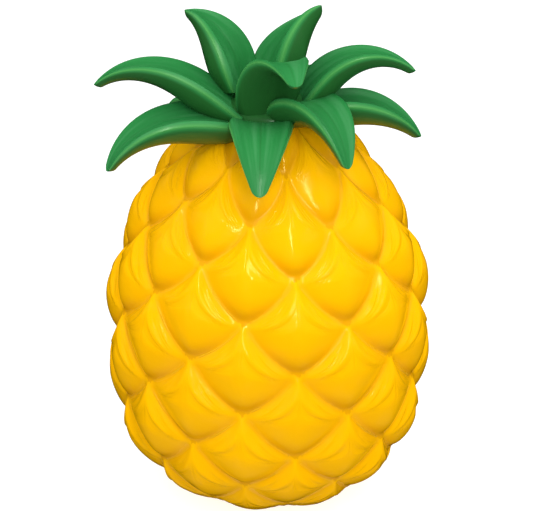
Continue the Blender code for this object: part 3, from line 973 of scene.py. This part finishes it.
# painted shade in the creases, mixed with the mould's own colour clouds
crease_shade_and_clouds = add_math(tree, "SUBTRACT", add_range(tree, relief_value, *CREST_RELIEF), cloud_share)
colour = mix_colour(tree, crease_shade_and_clouds, YELLOW_CREASE_SHADE, YELLOW_CREST)
# painted shade: darkest under the lower lips and towards their tips
painted_lip_shade = product(tree, add_range(tree, relief_value, *LIP_RELIEF), add_range(tree, down_value, *LIP_DOWN))
painted_lip_shade = product(tree, painted_lip_shade, add_range(tree, relief_value, *LIP_EDGE))
colour = mix_colour(tree, painted_lip_shade, colour, YELLOW_LIP_SHADE)

drag_fan = product(tree, read_value(tree, "fan"), DRAG_COUNT)
drag_place = shift_by_place(tree, join_vector(tree, (drag_fan, down_value, 0.0)), where, EYE_SHIFT)
drag_lines = product(tree, add_noise(tree, drag_place, scale=1.0, detail=2.0), read_value(tree, "hollow"))

flash_noise = add_noise(tree, where, FLASH_PER_METRE, detail=1.0)
flash_patches = add_range(tree, flash_noise, *FLASH_PATCHES)
flash = product(tree, add_range(tree, relief_value, *FLASH_RELIEF), flash_patches)
colour = mix_colour(tree, product(tree, flash, FLASH_SHARE), colour, YELLOW_PALE)
tree.links.new(colour, shader.inputs["Base Color"])

gloss = add_range(tree, traces.outputs["Polish"], 0.0, 1.0, *YELLOW_ROUGHNESS)
dull = add_range(tree, relief_value, *DULL_RELIEF, 0.0, DULL_CREASES)
tree.links.new(total(tree, gloss, dull), shader.inputs["Roughness"])
height = total(tree, traces.outputs["Height"], product(tree, drag_lines, DRAG_HEIGHT))
height = total(tree, height, product(tree, flash, FLASH_HEIGHT))
tree.links.new(add_bump(tree, height, *YELLOW_BUMP), shader.inputs["Normal"])
body.data.materials.clear()
body.data.materials.append(yellow)
print("yellow nodes:", len(tree.nodes))

# %% [markdown]
# ## Green plastic
# The leaves are softer and duller. Their colour carries painted light: pale streaks of painted sheen, the
# hazy reflection of the light above, along their upper faces; rims painted paler and a little yellow, as
# painted highlight and as light let through the thin plastic; undersides painted deep green, as painted shade
# with some of the thick plastic's own depth; and a faint line of painted shade in the fold. Streaks are noise
# that is stretched along the leaf.

# %% Green plastic
GREEN_FACE = (0.020, 0.205, 0.047, 1.0)
# painted sheen: the hazy reflection of the light above on the upper faces
GREEN_PAINTED_SHEEN = (0.060, 0.300, 0.100, 1.0)
# painted highlight along the rims, together with the light let through the thin plastic
GREEN_RIM_LIGHT = (0.095, 0.365, 0.085, 1.0)
# painted shade on the undersides, which face down over the body, with some of the thick plastic's own deeper
# green
GREEN_UNDER_SHADE = (0.018, 0.118, 0.023, 1.0)
GREEN_SHINE = (0.38, (0.85, 1.0, 0.85, 1.0))
GREEN_CLOUDS = 60.0
STREAKS_ACROSS = 2.6
STREAKS_ALONG = 1.3
LEAF_SHIFT = 14.0                   # per metre, so that no two leaves have the same streaks
STREAK_RANGE = (0.42, 0.72)
SHEEN_SHARE = 0.60
STREAK_HEIGHT = 0.35
# painted shade along the valley of the fold
FOLD_SHADE_ACROSS = (0.06, 0.0)             # across the leaf, in half widths
FOLD_SHADE_SHARE = 0.35
UNDER_HEIGHTS = (-0.13, -0.30)      # above the edges, in half widths
RIM_ACROSS = (0.93, 0.99)
RIM_HEIGHTS = (-0.20, -0.08)
RIM_LIGHT_SHARE = 0.6
RIM_POLISH = 0.08
GREEN_ROUGHNESS = (0.30, 0.46)
GREEN_BUMP = (0.5, 0.25 * MM)

green, tree, shader, traces = plastic("green_plastic", GREEN_SHINE, GREEN_CLOUDS)
along_value = read_value(tree, "along")
across_value = read_value(tree, "across")
above_value = read_value(tree, "above")
from_middle = add_math(tree, "ABSOLUTE", across_value, 0.0)
where = tree.nodes.new("ShaderNodeTexCoord").outputs["Object"]
streak_place = join_vector(tree, (product(tree, across_value, STREAKS_ACROSS),
                                  product(tree, along_value, STREAKS_ALONG), above_value))
streak_place = shift_by_place(tree, streak_place, where, LEAF_SHIFT)
streaks = add_range(tree, add_noise(tree, streak_place, scale=1.0, detail=4.0, roughness=0.55), *STREAK_RANGE)
# painted sheen in streaks; the same streaks also make the plastic rougher and raise its surface a little
colour = mix_colour(tree, product(tree, streaks, SHEEN_SHARE), GREEN_FACE, GREEN_PAINTED_SHEEN)
# painted shade in the fold's valley
fold_shade = product(tree, add_range(tree, from_middle, *FOLD_SHADE_ACROSS), FOLD_SHADE_SHARE)
colour = mix_colour(tree, fold_shade, colour, GREEN_UNDER_SHADE)
# painted shade on the undersides and, through its marks, on the disc
colour = mix_colour(tree, add_range(tree, above_value, *UNDER_HEIGHTS), colour, GREEN_UNDER_SHADE)
rim_line = product(tree, add_range(tree, from_middle, *RIM_ACROSS),
                   add_range(tree, above_value, *RIM_HEIGHTS))
# painted highlight and light let through, along the thin rims
colour = mix_colour(tree, product(tree, rim_line, RIM_LIGHT_SHARE), colour, GREEN_RIM_LIGHT)
tree.links.new(colour, shader.inputs["Base Color"])
dullness = add_range(tree, streaks, 0.0, 1.0, *GREEN_ROUGHNESS)
roughness = add_math(tree, "SUBTRACT", dullness, product(tree, rim_line, RIM_POLISH))
tree.links.new(roughness, shader.inputs["Roughness"])
height = total(tree, traces.outputs["Height"], product(tree, streaks, STREAK_HEIGHT))
tree.links.new(add_bump(tree, height, *GREEN_BUMP), shader.inputs["Normal"])
for piece in [disc, *leaves.values()]:
    piece.data.materials.clear()
    piece.data.materials.append(green)
print("green nodes:", len(tree.nodes))

# %% [markdown]
# ## Handing over
# Each finished piece takes the place of its CAD node, which is hidden, and rides on the part's one body.

# %% Hand over
nodes = {"body": (body, "yellow_plastic"), "crown_disc": (disc, "green_plastic")}
for name, piece in leaves.items():
    nodes[name] = (piece, "green_plastic")
for node, (piece, slot) in nodes.items():
    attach(piece, "root")
    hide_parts(node)
